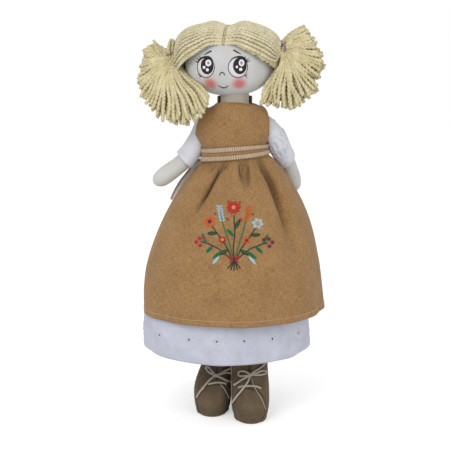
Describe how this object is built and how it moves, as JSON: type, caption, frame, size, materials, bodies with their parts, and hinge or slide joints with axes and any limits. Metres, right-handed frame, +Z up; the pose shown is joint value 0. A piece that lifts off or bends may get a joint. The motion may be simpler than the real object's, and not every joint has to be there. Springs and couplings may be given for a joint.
{
  "type": "cloth doll",
  "caption": "Standing stuffed cloth doll in a linen pinafore, white underdress and laced felt boots, with yarn hair in two side bunches.",
  "frame": {"origin": "on the floor, under the middle of the doll's bounding box", "axes": "+Z up, the doll faces -Y, +X is the doll's own left"},
  "size_m": [0.1932, 0.1396, 0.4078],
  "materials": {
    "skin_cloth": "matte cotton",
    "yarn": "soft twisted yarn",
    "linen": "matte plain weave",
    "white_cotton": "matte fine cotton",
    "tape": "woven tape",
    "felt": "felt",
    "cord": "thin round cord",
    "elastic": "thin elastic",
    "stick": "plain dowel"
  },
  "bodies": {
    "torso": {"torso": "skin_cloth", "neck_stick": "stick", "underdress_bodice": "white_cotton", "pinafore_bodice": "linen", "waistband": "linen", "upper_waist_tape": "tape", "lower_waist_tape": "tape", "pinafore_skirt": "linen", "underdress_skirt": "white_cotton", "back_bow": "tape"},
    "head": {"head": "skin_cloth", "parting_seam": "tape", "left_hair_panel": "yarn", "right_hair_panel": "yarn"},
    "left_bunch": {"left_bunch": "yarn", "left_hair_tie": "elastic"},
    "right_bunch": {"right_bunch": "yarn", "right_hair_tie": "elastic"},
    "left_arm": {"left_arm": "skin_cloth", "left_sleeve": "white_cotton"},
    "right_arm": {"right_arm": "skin_cloth", "right_sleeve": "white_cotton"},
    "left_leg": {"left_leg": "skin_cloth", "left_sole": "felt", "left_vamp": "felt", "left_quarter": "felt", "left_lace": "cord"},
    "right_leg": {"right_leg": "skin_cloth", "right_sole": "felt", "right_vamp": "felt", "right_quarter": "felt", "right_lace": "cord"}
  },
  "joints": [
    {"name": "head_turn", "type": "hinge", "parent": "torso", "child": "head", "pos_m": [0.00202, 0, 0.3375], "axis": [0, 0, 1], "range_deg": [-12, 12]},
    {"name": "left_bunch_swing", "type": "hinge", "parent": "head", "child": "left_bunch", "pos_m": [0.04849, -0.01617, 0.379], "axis": [-0.1908, -0.9816, 0], "range_deg": [0, 18]},
    {"name": "right_bunch_swing", "type": "hinge", "parent": "head", "child": "right_bunch", "pos_m": [-0.05733, 0.00439, 0.372], "axis": [0.1908, 0.9816, 0], "range_deg": [0, 12]},
    {"name": "left_arm_raise", "type": "hinge", "parent": "torso", "child": "left_arm", "pos_m": [0.02702, 0, 0.306], "axis": [0, -1, 0], "range_deg": [0, 50]},
    {"name": "right_arm_raise", "type": "hinge", "parent": "torso", "child": "right_arm", "pos_m": [-0.02698, 0, 0.306], "axis": [0, 1, 0], "range_deg": [0, 45]},
    {"name": "left_leg_swing", "type": "hinge", "parent": "torso", "child": "left_leg", "pos_m": [0.01702, 0, 0.205], "axis": [-1, 0, 0], "range_deg": [-10, 10]},
    {"name": "right_leg_swing", "type": "hinge", "parent": "torso", "child": "right_leg", "pos_m": [-0.01498, 0, 0.205], "axis": [-1, 0, 0], "range_deg": [-10, 10]}
  ]
}
